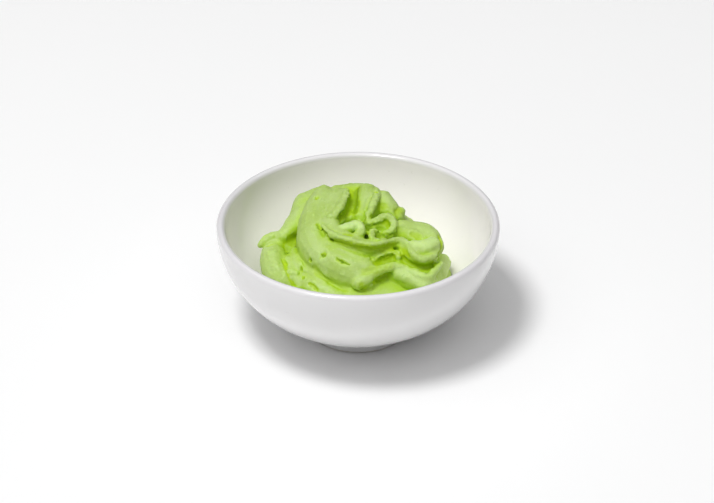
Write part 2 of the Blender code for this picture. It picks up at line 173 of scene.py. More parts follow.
# Each fold of the swirl is a tube: (x, y, z, radius) in mm at each turn of the fold. They are the solid's,
# but lip_crest, lip_face and pool lie up to 0.5 mm higher here, and ribbon_brow is only here.
FOLDS = {
    "big_ribbon": [
        (-9, 17, 30.2, 5.3), (-11, 11.5, 30, 5), (-12.5, 5, 28, 5), (-11.5, -1.5, 26, 5.3),
        (-7.5, -6.5, 24.5, 5.6), (-2, -10, 23.5, 5.2), (2, -12.5, 22.5, 3.8),
    ],
    "ribbon_top": [(-6, 17.5, 31.5, 4), (-7.5, 12, 31, 4), (-9.5, 7, 30, 3.6), (-10, 2, 29, 3)],
    "ribbon_inner_edge": [
        (-3.25, 17.25, 34.5, 1), (-3.5, 13.5, 35, 1.3), (-4.25, 10, 34.75, 1.4),
        (-5.75, 6.25, 34, 1.4), (-7.75, 3.75, 33.25, 1.2),
    ],
    "back_of_groove": [(-6, 19, 29.5, 3.5), (-1, 20, 29.5, 3.5), (4, 19, 29.5, 3.5)],
    "groove_floor": [
        (-2, 23.25, 30.5, 2.8), (-2, 18.75, 30.5, 3.1), (-3, 13.75, 30.25, 3.1),
        (-4.5, 10, 29.75, 2.6), (-2, 9.5, 29.5, 2.4),
    ],
    "top_left_lobe": [
        (-9, 19.5, 30.5, 4), (-13, 19.5, 29.5, 3.6), (-16, 19, 28.5, 3), (-17, 17, 27, 2.2),
    ],
    "second_lobe": [
        (-14.3, 17, 28.5, 3.2), (-16.1, 13.5, 27.5, 3.4), (-18.8, 10.5, 25.3, 3), (-22, 7.5, 24, 2.4),
    ],
    "left_lobe": [
        (-20.5, 10, 23.5, 2.4), (-24, 5, 21.2, 3.3), (-24, 0.5, 21.5, 4), (-23, -4, 20, 4.2),
        (-20, -8.5, 19, 3.8),
    ],
    "left_tip": [
        (-21.5, 8.75, 24.4, 1.5), (-24.5, 8, 24.2, 1.6), (-26.5, 7.25, 23.5, 1.4),
        (-28, 6.75, 22.6, 1.1),
    ],
    "lower_left": [(-18, 2, 22.5, 2), (-17.5, -1.5, 21.5, 3.4), (-15.5, -6, 20.5, 3.6)],
    "lower_left_toe": [
        (-17, -7, 19, 3), (-13, -10.5, 19.5, 3.4), (-9, -13, 19.2, 3.2), (-5, -16, 18.5, 2.8),
    ],
    "lower_left_crease": [(-14.5, -4.5, 22.8, 2.2), (-12, -9, 21.8, 2.2), (-8.5, -12, 21, 2)],
    "left_lump": [(-20, -2, 22.5, 2.2), (-18.5, -6.5, 21, 2.4), (-15.5, -11, 19, 2.2)],
    "hollow_floor": [
        (3, -7.5, 24.5, 2.3), (7.5, -6.5, 25.2, 2.3), (11, -6, 25.8, 2.3), (13.5, -7, 25.5, 2.2),
        (17, -7.5, 24, 2.3),
    ],
    "upper_ribbon": [
        (-8.5, 5, 30.5, 3.2), (-7, 0, 30.2, 3), (-3.5, -3.5, 29.6, 3), (1, -5.5, 29, 2.8),
        (5.5, -5.5, 28.5, 2.6),
    ],
    "centre_bed": [
        (-4, 3, 28, 2.8), (-1, 0, 27.5, 2.6), (5, 0, 27, 2.6), (8.5, 3, 27.8, 2.8), (8, 7, 28.5, 2.8),
    ],
    "small_lip": [
        (2.25, -10.75, 25.5, 0.8), (3.5, -9.5, 26.5, 0.9), (5.5, -8.25, 27.5, 0.95),
        (7.5, -7.5, 28.25, 1), (9.5, -7, 28.5, 1), (11, -7.25, 28.5, 0.95), (11.5, -8.25, 27.5, 0.85),
    ],
    "lower_ridge": [
        (-0.25, -15.25, 23.5, 1.9), (1, -15.25, 24, 1.8), (2.5, -14.25, 24.5, 1.5),
        (4.25, -13, 25.25, 1.3), (6.25, -12, 25.75, 1.25), (8.5, -11, 26, 1.25),
        (10.75, -10.25, 26, 1.2), (12.75, -10.5, 25.5, 1.2), (15, -11.75, 25.25, 1.2),
        (17.5, -13.5, 24.75, 1.2), (19.5, -13.75, 24.5, 1.2), (21.25, -11.5, 25, 1.2),
        (23.25, -7.75, 25.5, 1.1),
    ],
    "lower_right": [
        (10.5, -7.75, 20, 3.6), (14.75, -9, 19.75, 3.7), (18.75, -8.25, 19.5, 3.6),
        (22, -2.75, 18.5, 3.2), (24.25, 6, 17, 2.8),
    ],
    "right_lobe": [
        (11.5, 3.5, 29.5, 2.8), (15, 3.5, 29, 3), (18.5, 3, 28.5, 3.2), (21, 0, 28, 3),
        (22, -3, 27, 2.6),
    ],
    "right_fill": [(13.5, 2, 26, 3), (17, 0.5, 25.5, 3.5), (20, -1.5, 24, 3.3)],
    "back_right_lobe": [
        (6.5, 15, 33, 3), (8.5, 12, 31.5, 3.2), (10.5, 10.5, 30, 2.8), (12, 11, 31, 1.8),
    ],
    "ridge_crest": [
        (5, 16, 35.5, 0.9), (5.25, 12, 35.5, 1.1), (4.5, 9.25, 35, 1.1), (3.5, 6.5, 33.75, 1),
        (2.5, 5.25, 32.5, 0.9),
    ],
    "ridge_face": [
        (3, 19.5, 32.5, 3.1), (2.75, 16.5, 32.25, 3.3), (2.25, 13, 31.5, 3.2), (1.5, 10.25, 30.5, 2.9),
        (0.75, 8, 30, 2.4),
    ],
    "right_petal": [
        (2.75, 3.75, 31.75, 1.1), (4.5, 3.5, 32.25, 1.3), (6.25, 4, 32.75, 1.35), (8, 4.5, 33, 1.35),
        (9.25, 4, 32.75, 1.25), (10, 2.75, 32, 1.2), (10, 1.25, 31.5, 1.2), (9, 0.25, 31, 1.2),
        (7.5, 0, 30.5, 1.1),
    ],
    "left_petal": [
        (-6.5, -0.75, 31.5, 1.1), (-4.5, -0.5, 32, 1.4), (-2.75, 0, 32.25, 1.55),
        (-1, 0.75, 32.5, 1.55), (0.25, 0.75, 32.5, 1.5), (1, -0.5, 32, 1.4), (0.5, -2.25, 31.5, 1.4),
        (-0.75, -3.25, 31, 1.25), (-2.25, -3.25, 30.75, 0.9),
    ],
    "centre_curl": [
        (5.5, 0, 31.5, 0.9), (4.25, -0.25, 31.5, 1), (3.75, -1.5, 31.25, 1.05), (4, -3.5, 31, 1.05),
        (5, -4.5, 30.75, 1), (6.5, -4.75, 30.75, 1), (7.5, -3.5, 30.75, 0.9),
    ],
    "front_apron": [
        (-22, -7, 17, 3.5), (-16, -16, 16, 3.8), (-5, -22, 15.5, 4), (7, -21.5, 15.5, 4),
        (17, -14.5, 15.5, 3.5),
    ],
    "back_outer": [
        (22, 6, 13, 3), (18, 15, 16, 5), (8, 20, 20, 6), (-4, 22, 23, 6.5), (-15, 19, 22, 5.5),
        (-21, 11, 19, 4),
    ],
    "back_ribbon": [(20, 5, 21, 4), (14.5, 12.5, 22.5, 4), (6, 18, 25.5, 4.5), (-3, 20.5, 27, 4.5)],
    "back_inner": [(14, 9, 24, 4), (7, 15, 26, 5), (-2, 16, 27.5, 5)],
    "ridge_shoulder": [
        (4, 17, 33.5, 1.9), (3.75, 13.5, 33.5, 1.9), (3.25, 10.75, 32.75, 1.8),
        (2.5, 8.75, 31.75, 1.6),
    ],
    "lower_ridge_back": [
        (3, -9.75, 22.5, 2), (5.25, -8.25, 23.75, 1.9), (8, -7, 24.5, 1.9), (10.75, -6.5, 24.5, 1.8),
        (13.25, -7.5, 24.25, 1.8), (15.75, -9, 23.75, 1.8), (18.75, -9.75, 23.5, 1.8),
        (21.25, -7.5, 23.5, 1.8),
    ],
    "right_lobe_fill": [(14.5, 5, 28.75, 2.6), (17, 4.25, 28.5, 2.6), (19.5, 2.5, 27.5, 2.4)],
    "right_petal_floor": [(6, 4.75, 30.5, 1.6), (7.75, 3.75, 30.75, 1.7), (9, 4.25, 30.5, 1.5)],
    "left_petal_floor": [(-3, 1, 29.5, 1.6), (-1.25, 1.5, 30, 1.7), (-0.25, 2, 30, 1.6)],
    "lip_crest": [
        (-10, 0.25, 32.75, 0.8), (-8, -3.25, 32.5, 1), (-5.5, -5.5, 32.75, 1.1),
        (-2.5, -7, 32.5, 1.15), (1, -8, 32, 1.15), (4.25, -8.5, 32, 1.15), (7, -7.25, 31.75, 1.1),
        (9.5, -5, 31, 1.1), (11.5, -4, 30.75, 1.1), (13, -4.5, 30.5, 1.1), (14.25, -6.75, 30, 1.1),
        (15.25, -9, 29.25, 1.1), (17.5, -10.25, 28.5, 1.1), (20, -9.75, 28.5, 1.1),
        (22, -7.5, 28.5, 1), (23, -4.5, 28.75, 0.9), (23.5, -1.5, 28.75, 0.8),
    ],
    "lip_face": [
        (-7.75, -2, 31.25, 1.3), (-5, -4.5, 31, 1.5), (-1.75, -6.25, 30.75, 1.5),
        (1.5, -7, 30.25, 1.5), (5, -7, 30, 1.5), (7.75, -5.75, 30, 1.5), (10, -4, 29.5, 1.5),
        (11.75, -3.75, 29.25, 1.5), (13, -5.75, 28.75, 1.5), (14.5, -8.25, 28, 1.4),
        (17.5, -9.5, 27.25, 1.3), (20.25, -8.75, 27, 1.3),
    ],
    "pool": [
        (14.75, -5.05, 29.25, 2.1), (17, -6.3, 29.25, 2.5), (19.5, -5.8, 29, 2.7),
        (21.5, -3.8, 29, 2.4),
    ],
    "right_bed": [
        (13.25, 3, 28.5, 3), (15.75, 0.5, 28.25, 3), (18.25, -0.25, 27, 3), (21.25, 0.25, 25, 2.6),
    ],
    "left_shoulder": [
        (-15, 20, 29.5, 3), (-16.5, 16.5, 28.5, 2.9), (-17.25, 14.5, 27, 2.7), (-18, 12.5, 25.75, 2.4),
        (-18.5, 11, 25, 1.8),
    ],
    "left_groove_floor": [
        (-17.5, 11.75, 22.55, 2.4), (-18.75, 9, 22.05, 2.6), (-20.25, 5.5, 21.3, 2.4),
    ],
    "left_tip_under": [(-21.25, 7, 22.5, 1.8), (-23.5, 7.25, 22.2, 1.4), (-25.25, 7.5, 21.75, 0.8)],
    "right_hollow_floor": [
        (12.75, -5.5, 25.75, 2), (15, -7.5, 25.5, 2.2), (17.75, -8.25, 24.75, 2.2),
        (20.75, -6.5, 24.5, 2),
    ],
    "lower_face": [
        (5.25, -11.25, 20.5, 2.2), (7.75, -9.25, 21.5, 2.3), (10, -9.25, 22.5, 2.5),
        (12.75, -10.25, 22.5, 2.8), (15.75, -11.75, 22, 2.8), (19.25, -11.75, 21.5, 2.6),
    ],
    "ribbon_front": [
        (-10.5, -2, 26, 3), (-8, -6, 26.3, 3), (-4, -9, 26.2, 3.1), (0.5, -10.5, 25.8, 3),
        (4, -11, 25.2, 2.4), (6.5, -10.5, 24.8, 1.8),
    ],
    "back_rim": [(-7, 21, 31, 2.5), (-2, 21.5, 31.2, 2.6), (2, 21, 31.4, 2.6), (5, 19.5, 31.5, 2.4)],
    "ribbon_top_inner": [
        (-5, 17.5, 33.2, 2), (-5.5, 13.5, 33.4, 2.2), (-6.5, 9.5, 33, 2.2), (-8, 6, 32.2, 2),
    ],
    "lower_face_top": [
        (11, -11, 24.2, 1.9), (13, -12, 23.8, 1.9), (15.5, -13, 23.2, 1.9), (18, -14.2, 22.6, 1.9),
        (20.5, -12.5, 22.8, 1.9),
    ],
    "ribbon_brow": [
        (-9, -2.5, 30, 1.4), (-7, -5, 29.25, 1.5), (-3.75, -7.25, 28.5, 1.6), (-0.5, -9, 28, 1.6),
        (2.5, -10, 27.25, 1.5),
    ],
}

# These folds are sharp crests. Thicker copies of each lie under it: (drop in radii, growth).
CRESTS = (
    "ribbon_inner_edge", "ridge_crest", "right_petal", "left_petal", "centre_curl", "small_lip",
)
SKIRT = ((1.1, 1.1), (2.3, 1.3), (3.6, 1.6))

# Regions of the swirl: how much painted shade or light each has, how many mm it is scooped out, and its
# course, a row of (x, y, z, radius) points in mm. The painted shading is -1 for painted light on a face
# that catches it,
# 0 on plain paste, 1 for a green painted shade in a hollow, under an overhang or on a shaded flank, and 2
# at its darkest.
REGIONS = {
    "groove": (1, 0.7, [(-2, 19, 33.5, 2.6), (-2, 14, 33.5, 2.7), (-3, 9, 33, 2.7), (-4.5, 5, 33, 2)]),
    "ridge_flank": (1.6, 0, [(0, 19, 33.5, 1.7), (0.2, 14, 32.8, 1.9), (-0.3, 9.5, 32, 1.7)]),
    "left_groove": (1.25, 0.4, [(-18, 9.5, 25, 2), (-19, 6.5, 24.5, 2.3), (-20.5, 3, 23, 1.9)]),
    "lip_face": (
        1, 0.2,
        [
            (-7, -5, 32, 1.3), (-3.5, -8, 31.8, 1.6), (0, -9, 31.5, 1.8), (3, -9.5, 31, 2),
            (6.5, -8.8, 30.8, 2.2), (9.5, -6.5, 30.2, 2), (13.5, -9, 28.5, 1.9),
        ],
    ),
    "right_hollow": (
        1.2, 0.4,
        [(13, -8, 27, 1.6), (15, -10, 26.5, 1.8), (18, -10.5, 26, 1.8), (20.5, -9.5, 26, 1.5)],
    ),
    "right_crease": (0.8, 0.5, [(15.5, -0.5, 30.5, 1.4), (17, -1.5, 30.5, 1.6), (17, -3, 30, 1.3)]),
    "right_petal": (1, 0.5, [(8, 3, 32, 1.4), (9, 2, 31.5, 1.2)]),
    "left_petal": (1, 0.4, [(-3.5, -4, 32, 1.1), (-2, -4, 32, 1)]),
    "small_lip": (1, 0.5, [(5, -11, 27.5, 1.4), (7, -8.5, 27, 1.7), (9.5, -8, 27.5, 1.6)]),
    "under_ridge": (1, 0.3, [(4.5, -14, 23.5, 1.4), (6, -12, 23.5, 1.7), (7.5, -11, 23.5, 1.6)]),
    "ridge_end": (0.9, 0.2, [(1, -17, 24, 1.4), (1.5, -15.5, 22, 1.4)]),
    "ribbon_foot": (
        0.5, 0.4,
        [(-12, -9.5, 25, 1.6), (-11, -10.5, 24, 1.4), (-8, -13, 22.5, 0.7), (-3, -16, 21.5, 0.7)],
    ),
    "behind_crest": (0.8, 0.2, [(6, 9.5, 33.5, 1.6), (7.5, 10, 33.5, 1.5)]),
    "back_right": (0.8, 0.2, [(12, 10, 32.5, 1.4), (11, 9, 32, 1.3)]),
    "pool": (-1, 0, [(15.5, -5, 31, 2.6), (18.5, -6, 31, 3.2), (21, -4.5, 30.5, 2.8)]),
    "lower_face": (-0.4, 0, [(11, -12.5, 25, 2.6), (14, -13.5, 24.5, 3), (18, -15, 23.5, 2.6)]),
    "petal_top": (-1, 0, [(-4, -0.5, 33.8, 1.6), (-0.7, -0.3, 33.7, 1.8), (1, -0.7, 33.5, 1.3)]),
    "low_ridge": (0.6, 0, [(2, -14, 26.3, 1.6), (5, -13, 27, 1.8), (8.5, -12, 26.8, 1.6)]),
}

# Small marks in the surface, in the same form, whose painted shading darkens pits and slits as shade. Where
# the depth is below 0, the mark stands up.
MARKS = {
    "slit": (2, 1.2, [(-6, -10.5, 29, 0.5), (-4.5, -11.5, 28.5, 0.6), (-2.5, -12.5, 28, 0.4)]),
    "top_pit": (1.2, 0.9, [(-12, 12.5, 35, 0.9), (-12, 12, 35, 0.9)]),
    "left_pit": (1.8, 0.8, [(-13.5, -7.5, 26.5, 0.8), (-13.5, -8, 26.5, 0.8)]),
    "middle_pit": (1.8, 0.7, [(-10, -9, 29, 0.8), (-9.5, -9, 29, 0.9)]),
    "tip_crease": (1.2, 1.0, [(-27, 3.5, 24.5, 0.9), (-25.5, 3.5, 25, 1), (-23.5, 4.5, 25.5, 0.9)]),
    "lip_start": (1.7, 0.7, [(-11.5, 2, 32, 0.7), (-9, -3.5, 32.5, 0.8), (-7, -4.5, 31, 0.7)]),
    "lower_left_fold": (
        1, 0.3,
        [(-20.5, -6.5, 23.5, 0.9), (-19.5, -10, 22.5, 0.9), (-18, -11.5, 20, 0.8)],
    ),
    "front_fold": (1.2, 0.5, [(-13.5, -13, 22, 1), (-11.5, -14.5, 21, 0.9)]),
    "lobe_line": (1, 0.5, [(-21.5, -3, 23.5, 0.8), (-20.5, -5.5, 23.5, 0.8)]),
    "lobe_swell": (0, -0.4, [(-24.5, -1.5, 25, 2.2), (-23, -6, 23.5, 2.2)]),
    "crumbs": (0, -0.5, [(-16.5, -5.5, 24.5, 1.1), (-15, -8, 23, 1.3)]),
    "more_crumbs": (0, -0.5, [(-19.5, -8, 23, 0.9), (-17.5, -8.5, 22.5, 1)]),
    "crumb_hole": (1.5, 0.6, [(-16, -7, 23.5, 0.6), (-15.5, -10.5, 22.5, 0.7)]),
    "centre_gap": (2, 1.6, [(2.5, -1.5, 31, 0.9), (2.5, -3.5, 30.5, 0.9)]),
    "ridge_nick": (1, 0.5, [(5.5, 13.5, 36.5, 0.6), (4, 13.5, 36.5, 0.5)]),
    "right_fringe": (
        1.2, 0.5,
        [(22.5, -1, 30, 1), (23.5, -5, 29, 1), (23, -9.5, 28, 1), (21.5, -13, 27, 1)],
    ),
}

# ---------------------------------------------------------------- helpers


def new_object(name, data):
    """An object in the scene that shows the data."""
    made = bpy.data.objects.new(name, data)
    bpy.context.scene.collection.objects.link(made)
    return made


def evaluated_mesh(source):
    """A new mesh of the object as its modifiers and settings make it."""
    graph = bpy.context.evaluated_depsgraph_get()
    return bpy.data.meshes.new_from_object(source.evaluated_get(graph))


def bake(target):
    """Applies the object's modifiers."""
    mesh = evaluated_mesh(target)
    target.modifiers.clear()
    target.data = mesh
    return target


def turned(name, profile, steps):
    """A mesh of revolution about Z from (radius, height) points that run down its outer side."""
    mesh = bpy.data.meshes.new(name)
    corners = [(r, 0, z) for r, z in profile]
    mesh.from_pydata(corners, [(i, i + 1) for i in range(len(corners) - 1)], [])
    made = new_object(name, mesh)
    screw = made.modifiers.new("Turn", "SCREW")
    screw.steps = steps
    screw.render_steps = steps
    screw.use_merge_vertices = True
    screw.merge_threshold = MERGE_DISTANCE
    return bake(made)


def belly_curve(radius, depth, start, end, count):
    """(radius, depth) points of a quarter superellipse, from the depth start to the depth end."""
    first = math.asin((start / depth) ** (BELLY_POWER / 2))
    last = math.asin((end / depth) ** (BELLY_POWER / 2))
    points = []
    for i in range(count + 1):
        turn = first + (last - first) * i / count
        across = max(math.cos(turn), 0) ** (2 / BELLY_POWER)
        down = math.sin(turn) ** (2 / BELLY_POWER)
        points.append((radius * across, depth * down))
    return points


def wall_height(radius, full_radius, full_depth):
    """The height of a superellipse wall at a radius. It takes numbers or arrays."""
    share = 1 - np.minimum(radius / full_radius, 1) ** BELLY_POWER
    return BOWL_HEIGHT - full_depth * share ** (1 / BELLY_POWER)


def eased_corner(before, corner, after):
    """Points of a curve that leaves the line to the corner at before and joins the next one at after."""
    points = []
    for i in range(CORNER_POINTS + 1):
        t = i / CORNER_POINTS
        shares = ((1 - t) ** 2, 2 * t * (1 - t), t * t)
        axes = zip(before, corner, after)
        points.append(tuple(sum(s * value for s, value in zip(shares, axis)) for axis in axes))
    return points


def grade(values, low, high):
    """0 below low, 1 above high, and a smooth rise between."""
    t = np.clip((values - low) / (high - low), 0, 1)
    return t * t * (3 - 2 * t)


# ---------------------------------------------------------------- materials


class Nodes:
    """A short way to add and link shader nodes."""

    def __init__(self, name):
        self.material = bpy.data.materials.new(name)
        self.material.use_nodes = True
        self.tree = self.material.node_tree
        self.shader = self.tree.nodes["Principled BSDF"]

    def add(self, kind, inputs=None, **settings):
        """A new node. Each of its inputs is linked to a socket, or set to a value."""
        node = self.tree.nodes.new(kind)
        for key, value in settings.items():
            setattr(node, key, value)
        for key, value in (inputs or {}).items():
            if isinstance(value, bpy.types.NodeSocket):
                self.tree.links.new(value, node.inputs[key])
            else:
                node.inputs[key].default_value = value
        return node

    def place(self):
        return self.add("ShaderNodeTexCoord").outputs["Object"]

    def stored(self, name):
        """A number that the mesh holds for each point."""
        return self.add("ShaderNodeAttribute", attribute_name=name).outputs["Fac"]

    def noise(self, place, scale, detail=2.0, roughness=0.5, distortion=0.0):
        """Noise between 0 and 1. The scale is how many lumps there are to a metre."""
        inputs = {"Vector": place, "Scale": scale, "Detail": detail}
        inputs |= {"Roughness": roughness, "Distortion": distortion}
        return self.add("ShaderNodeTexNoise", inputs).outputs["Fac"]

    def span(self, value, low, high, out_low, out_high):
        """The value moved from one range to another, and held inside it."""
        inputs = {"Value": value, "From Min": low, "From Max": high}
        inputs |= {"To Min": out_low, "To Max": out_high}
        return self.add("ShaderNodeMapRange", inputs).outputs["Result"]

    def mix(self, share, first, second):
        """The second colour over the first, by the share. A mixer's colours are its inputs 6 and 7."""
        return self.add("ShaderNodeMix", {0: share, 6: first, 7: second}, data_type="RGBA").outputs[2]

    def maths(self, operation, first, second):
        return self.add("ShaderNodeMath", {0: first, 1: second}, operation=operation).outputs[0]

    def bump(self, height, strength, distance, normal=None):
        inputs = {"Height": height, "Strength": strength, "Distance": distance}
        if normal is not None:
            inputs["Normal"] = normal
        return self.add("ShaderNodeBump", inputs).outputs["Normal"]

    def link(self, socket, name):
        self.tree.links.new(socket, self.shader.inputs[name])

    def fix(self, **values):
        """Sets the shader's own inputs. An underscore stands for a space."""
        for name, value in values.items():
            self.shader.inputs[name.replace("_", " ")].default_value = value


def glaze_material(name, white):
    """White porcelain: a clear smooth glaze with faint clouds, pinholes and an orange-peel surface."""
    n = Nodes(name)
    place = n.place()
    cloud = n.span(n.noise(place, 45, detail=3), 0.35, 0.65, 0, 1)
    shade = tuple(CLOUDED * value for value in white)
    base = n.mix(cloud, (*shade, 1), (*white, 1))
    height = n.add("ShaderNodeSeparateXYZ", {"Vector": place}).outputs["Z"]
    # Greyer over the rim
    base = n.mix(n.span(height, *RIM_GREY_HEIGHTS, 0, 1), base, RIM_GREY)
    speck = n.span(n.noise(place, 900, detail=1), 0.74, 0.80, 0, 0.15)
    n.link(n.mix(speck, base, PINHOLE), "Base Color")
    n.link(n.span(n.noise(place, 120), 0.3, 0.7, 0.16, 0.26), "Roughness")
    peel = n.bump(n.noise(place, 260, detail=2), 0.08, 0.4 * MM)
    n.link(n.bump(n.noise(place, 70, detail=1), 0.10, 1 * MM, peel), "Normal")
    n.fix(IOR=1.5, Coat_Weight=0.6, Coat_Roughness=0.07, Coat_IOR=1.5)
    return n.material


def biscuit_material():
    """The bare foot ring, where the porcelain stands: dry, a little warmer and finely rough."""
    n = Nodes("unglazed_foot")
    grain = n.noise(n.place(), 1400, detail=3)
    n.link(n.mix(n.span(grain, 0.3, 0.7, 0, 1), *BISCUIT), "Base Color")
    n.link(n.span(grain, 0.3, 0.7, 0.6, 0.8), "Roughness")
    n.link(n.bump(grain, 0.4, 0.2 * MM), "Normal")
    n.fix(IOR=1.5)
    return n.material


def wasabi_material():
    """Moist paste of finely grated root, mottled and flecked. Painted shade makes it a deeper green where
    it is hidden or marked as shaded, and painted light and highlights make marked faces and crests paler.
    """
    n = Nodes("wasabi_paste")
    place = n.place()
    hollow = n.stored("hollow")
    painted_shading = n.stored("painted_shading")
    patches = n.span(n.noise(place, 130, detail=4, roughness=0.6), 0.33, 0.67, 0, 1)
    pale = n.span(n.noise(place, 1500, detail=2), 0.60, 0.74, 0, 0.4)
    dark = n.span(n.noise(place, 1100, detail=2, distortion=0.6), 0.64, 0.78, 0, 0.4)
    base = n.mix(patches, *PASTE)
    for share, colour in (
        (pale, PALE_FLECK),
        # Painted shade where the paste hides itself from the light, deepest in creases
        (n.span(hollow, 0, 0.22, 0, 0.45), SHADED),
        (n.span(hollow, 0.15, 0.42, 0, 0.85), PAINTED_CREASE_SHADE),
        (n.span(hollow, 0.50, 0.80, 0, 0.6), PAINTED_DEEP_CREASE_SHADE),
        # Green painted shade where the regions and marks are shaded, then darker still
        (n.span(painted_shading, 0, 1, 0, 0.92), PAINTED_SHADE_GREEN),
        (n.span(painted_shading, 1, 2, 0, 0.9), PAINTED_DARK_SHADE),
        # Painted highlight along the crests
        (n.maths("MULTIPLY", n.stored("edge"), 0.5), PAINTED_CREST_HIGHLIGHT),
        # Painted light on faces that catch the light
        (n.span(painted_shading, 0, -1, 0, 0.8), PAINTED_LIT_FACE),
        (dark, DARK_FLECK),
    ):
        base = n.mix(share, base, colour)
    n.link(base, "Base Color")
    n.link(n.span(n.noise(place, 320, detail=3), 0.3, 0.7, 0.40, 0.62), "Roughness")
    grain = n.bump(n.noise(place, 2600, detail=2, roughness=0.6), 0.4, 0.13 * MM)
    n.link(n.bump(n.noise(place, 900, detail=3, roughness=0.6), 0.45, 0.30 * MM, grain), "Normal")
    n.fix(Subsurface_Weight=0.25, Subsurface_Radius=(1.0, 1.2, 0.20), Subsurface_Scale=1 * MM, IOR=1.40)
    return n.material


def floor_material():
    """A matt, very pale surface with hardly any clouds in it."""
    n = Nodes("pale_floor")
    n.link(n.mix(n.noise(n.place(), 6, detail=2), *FLOOR), "Base Color")
    n.fix(Roughness=0.9, Specular_IOR_Level=0.1)
    return n.material


# ---------------------------------------------------------------- bowl


def inner_wall(gap, count):
    """(radius, height) up a wall that stays the gap off the bowl's inside, from its bottom to the rim."""
    radius = RIM_RADIUS - WALL - gap
    depth = BELLY_DEPTH - WALL - gap
    points = belly_curve(radius, depth, WALL / 2, depth, count)
    return [(r, BOWL_HEIGHT - d) for r, d in reversed(points)]


def lip_arc(count):
    """(radius, height) over the rounded rim, without the ends, which the walls have."""
    half = WALL / 2
    turns = [math.pi * (1 - i / count) for i in range(1, count)]
    arc = [(half * math.cos(turn), half * math.sin(turn)) for turn in turns]
    return [(RIM_RADIUS - half + across, BOWL_HEIGHT - half + up) for across, up in arc]


def outer_wall(count):
    """(radius, height) down the outside, ending a little above the foot."""
    foot_top = FOOT_RADIUS + FOOT_FLARE + FILLET
    share = 1 - (foot_top / RIM_RADIUS) ** BELLY_POWER
    lowest = BELLY_DEPTH * share ** (1 / BELLY_POWER)
    points = belly_curve(RIM_RADIUS, BELLY_DEPTH, WALL / 2, lowest, count)
    return [(r, BOWL_HEIGHT - d) for r, d in points]


def foot_profile(belly_end):
    """(radius, height) from the belly's end, down the foot, under it and up into the recess."""
    side_top = (FOOT_RADIUS + FOOT_FLARE, belly_end[1] - 1.5 * FILLET)
    corner = (FOOT_RADIUS + FOOT_FLARE, belly_end[1] - 0.3 * FILLET)
    inside = FOOT_RADIUS - FOOT_WIDTH - FOOT_EDGE
    recess_edge = (inside - FOOT_EDGE, FOOT_RECESS)
    points = eased_corner(belly_end, corner, side_top)[1:]
    points += eased_corner((FOOT_RADIUS, FOOT_EDGE), (FOOT_RADIUS, 0), (FOOT_RADIUS - FOOT_EDGE, 0))
    points += eased_corner((inside + FOOT_EDGE, 0), (inside, 0), (inside, FOOT_EDGE))
    points += eased_corner((inside, FOOT_RECESS - FOOT_EDGE), (inside, FOOT_RECESS), recess_edge)
    return points + [(inside / 2, FOOT_RECESS), (0, FOOT_RECESS)]


def bowl_material(face):
    """Which of the bowl's materials the face takes: 0 outside, whose glaze is darker as painted shade, 1
    inside, whose glaze is brighter as painted light, 2 where the foot is bare.
    """
    if face.center.z < BARE_BELOW and face.center.xy.length > BARE_INSIDE:
        return 2
    return int(face.center.z > BARE_BELOW and face.normal.xy.dot(face.center.xy) < 0)


def make_bowl():
    """The bowl in one turned skin, glazed but for its foot."""
    outside = outer_wall(WALL_POINTS)
    profile = inner_wall(0, WALL_POINTS) + lip_arc(RIM_POINTS) + outside + foot_profile(outside[-1])
    bowl = turned("bowl_glazed", profile, BOWL_STEPS)
    bowl.data.materials.clear()
    # The outside glaze is darker, as painted shade, and the inside one brighter and less green, as painted
    # light
    bowl.data.materials.append(glaze_material("glazed_outside_painted_shade", OUTER_GLAZE_PAINTED_SHADE))
    bowl.data.materials.append(glaze_material("glazed_inside_painted_light", INNER_GLAZE_PAINTED_LIGHT))
    bowl.data.materials.append(biscuit_material())
    for face in bowl.data.polygons:
        face.material_index = bowl_material(face)
    bowl.data.shade_smooth()
    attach(bowl, "root")
    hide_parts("bowl")


# ---------------------------------------------------------------- paste


def with_round_ends(points):
    """The fold's points as vectors and radii, with one thin point more past each end."""
    knots = [(Vector((x, y, z)), radius) for x, y, z, radius in points]

    def tip(end, before):
        ahead = (end[0] - before[0]).normalized()
        return end[0] + ahead * end[1] * TIP_REACH, end[1] * TIP_THICKNESS

    return [tip(knots[0], knots[1]), *knots, tip(knots[-1], knots[-2])]


def fold_mesh(name, points):
    """A closed tube that is as thick as the fold at each of its points."""
    knots = with_round_ends(points)
    curve = bpy.data.curves.new(name, "CURVE")
    curve.dimensions = "3D"
    curve.bevel_depth = MM
    curve.bevel_resolution = FOLD_BEVEL
    curve.resolution_u = FOLD_RESOLUTION
    curve.use_fill_caps = True
    spline = curve.splines.new("BEZIER")
    spline.bezier_points.add(len(knots) - 1)
    for knot, (place, radius) in zip(spline.bezier_points, knots):
        knot.co = place * MM
        knot.radius = radius
        knot.handle_left_type = "AUTO"
        knot.handle_right_type = "AUTO"
    guide = new_object(name, curve)
    mesh = evaluated_mesh(guide)
    bpy.data.objects.remove(guide)
    return mesh


def layers(name, points):
    """The fold itself and, for a crest, the wider folds that carry it."""
    skirt = SKIRT if name in CRESTS else ()
    return [points] + [[(x, y, z - drop * r, r * grown) for x, y, z, r in points] for drop, grown in skirt]


def heap_profile():
    """(radius, height) down the heap's dome to its edge, then in along the bowl's floor."""
    height = HEAP_TOP - HEAP_EDGE_HEIGHT
    dome = []
    for i in range(HEAP_POINTS + 1):
        share = math.sin(math.pi / 2 * i / HEAP_POINTS)
        dome.append((HEAP_EDGE_RADIUS * share, HEAP_EDGE_HEIGHT + height * (1 - share**2)))
    under = [point for point in inner_wall(GAP, WALL_POINTS) if point[0] < HEAP_EDGE_RADIUS]
    return dome + under[::-1]


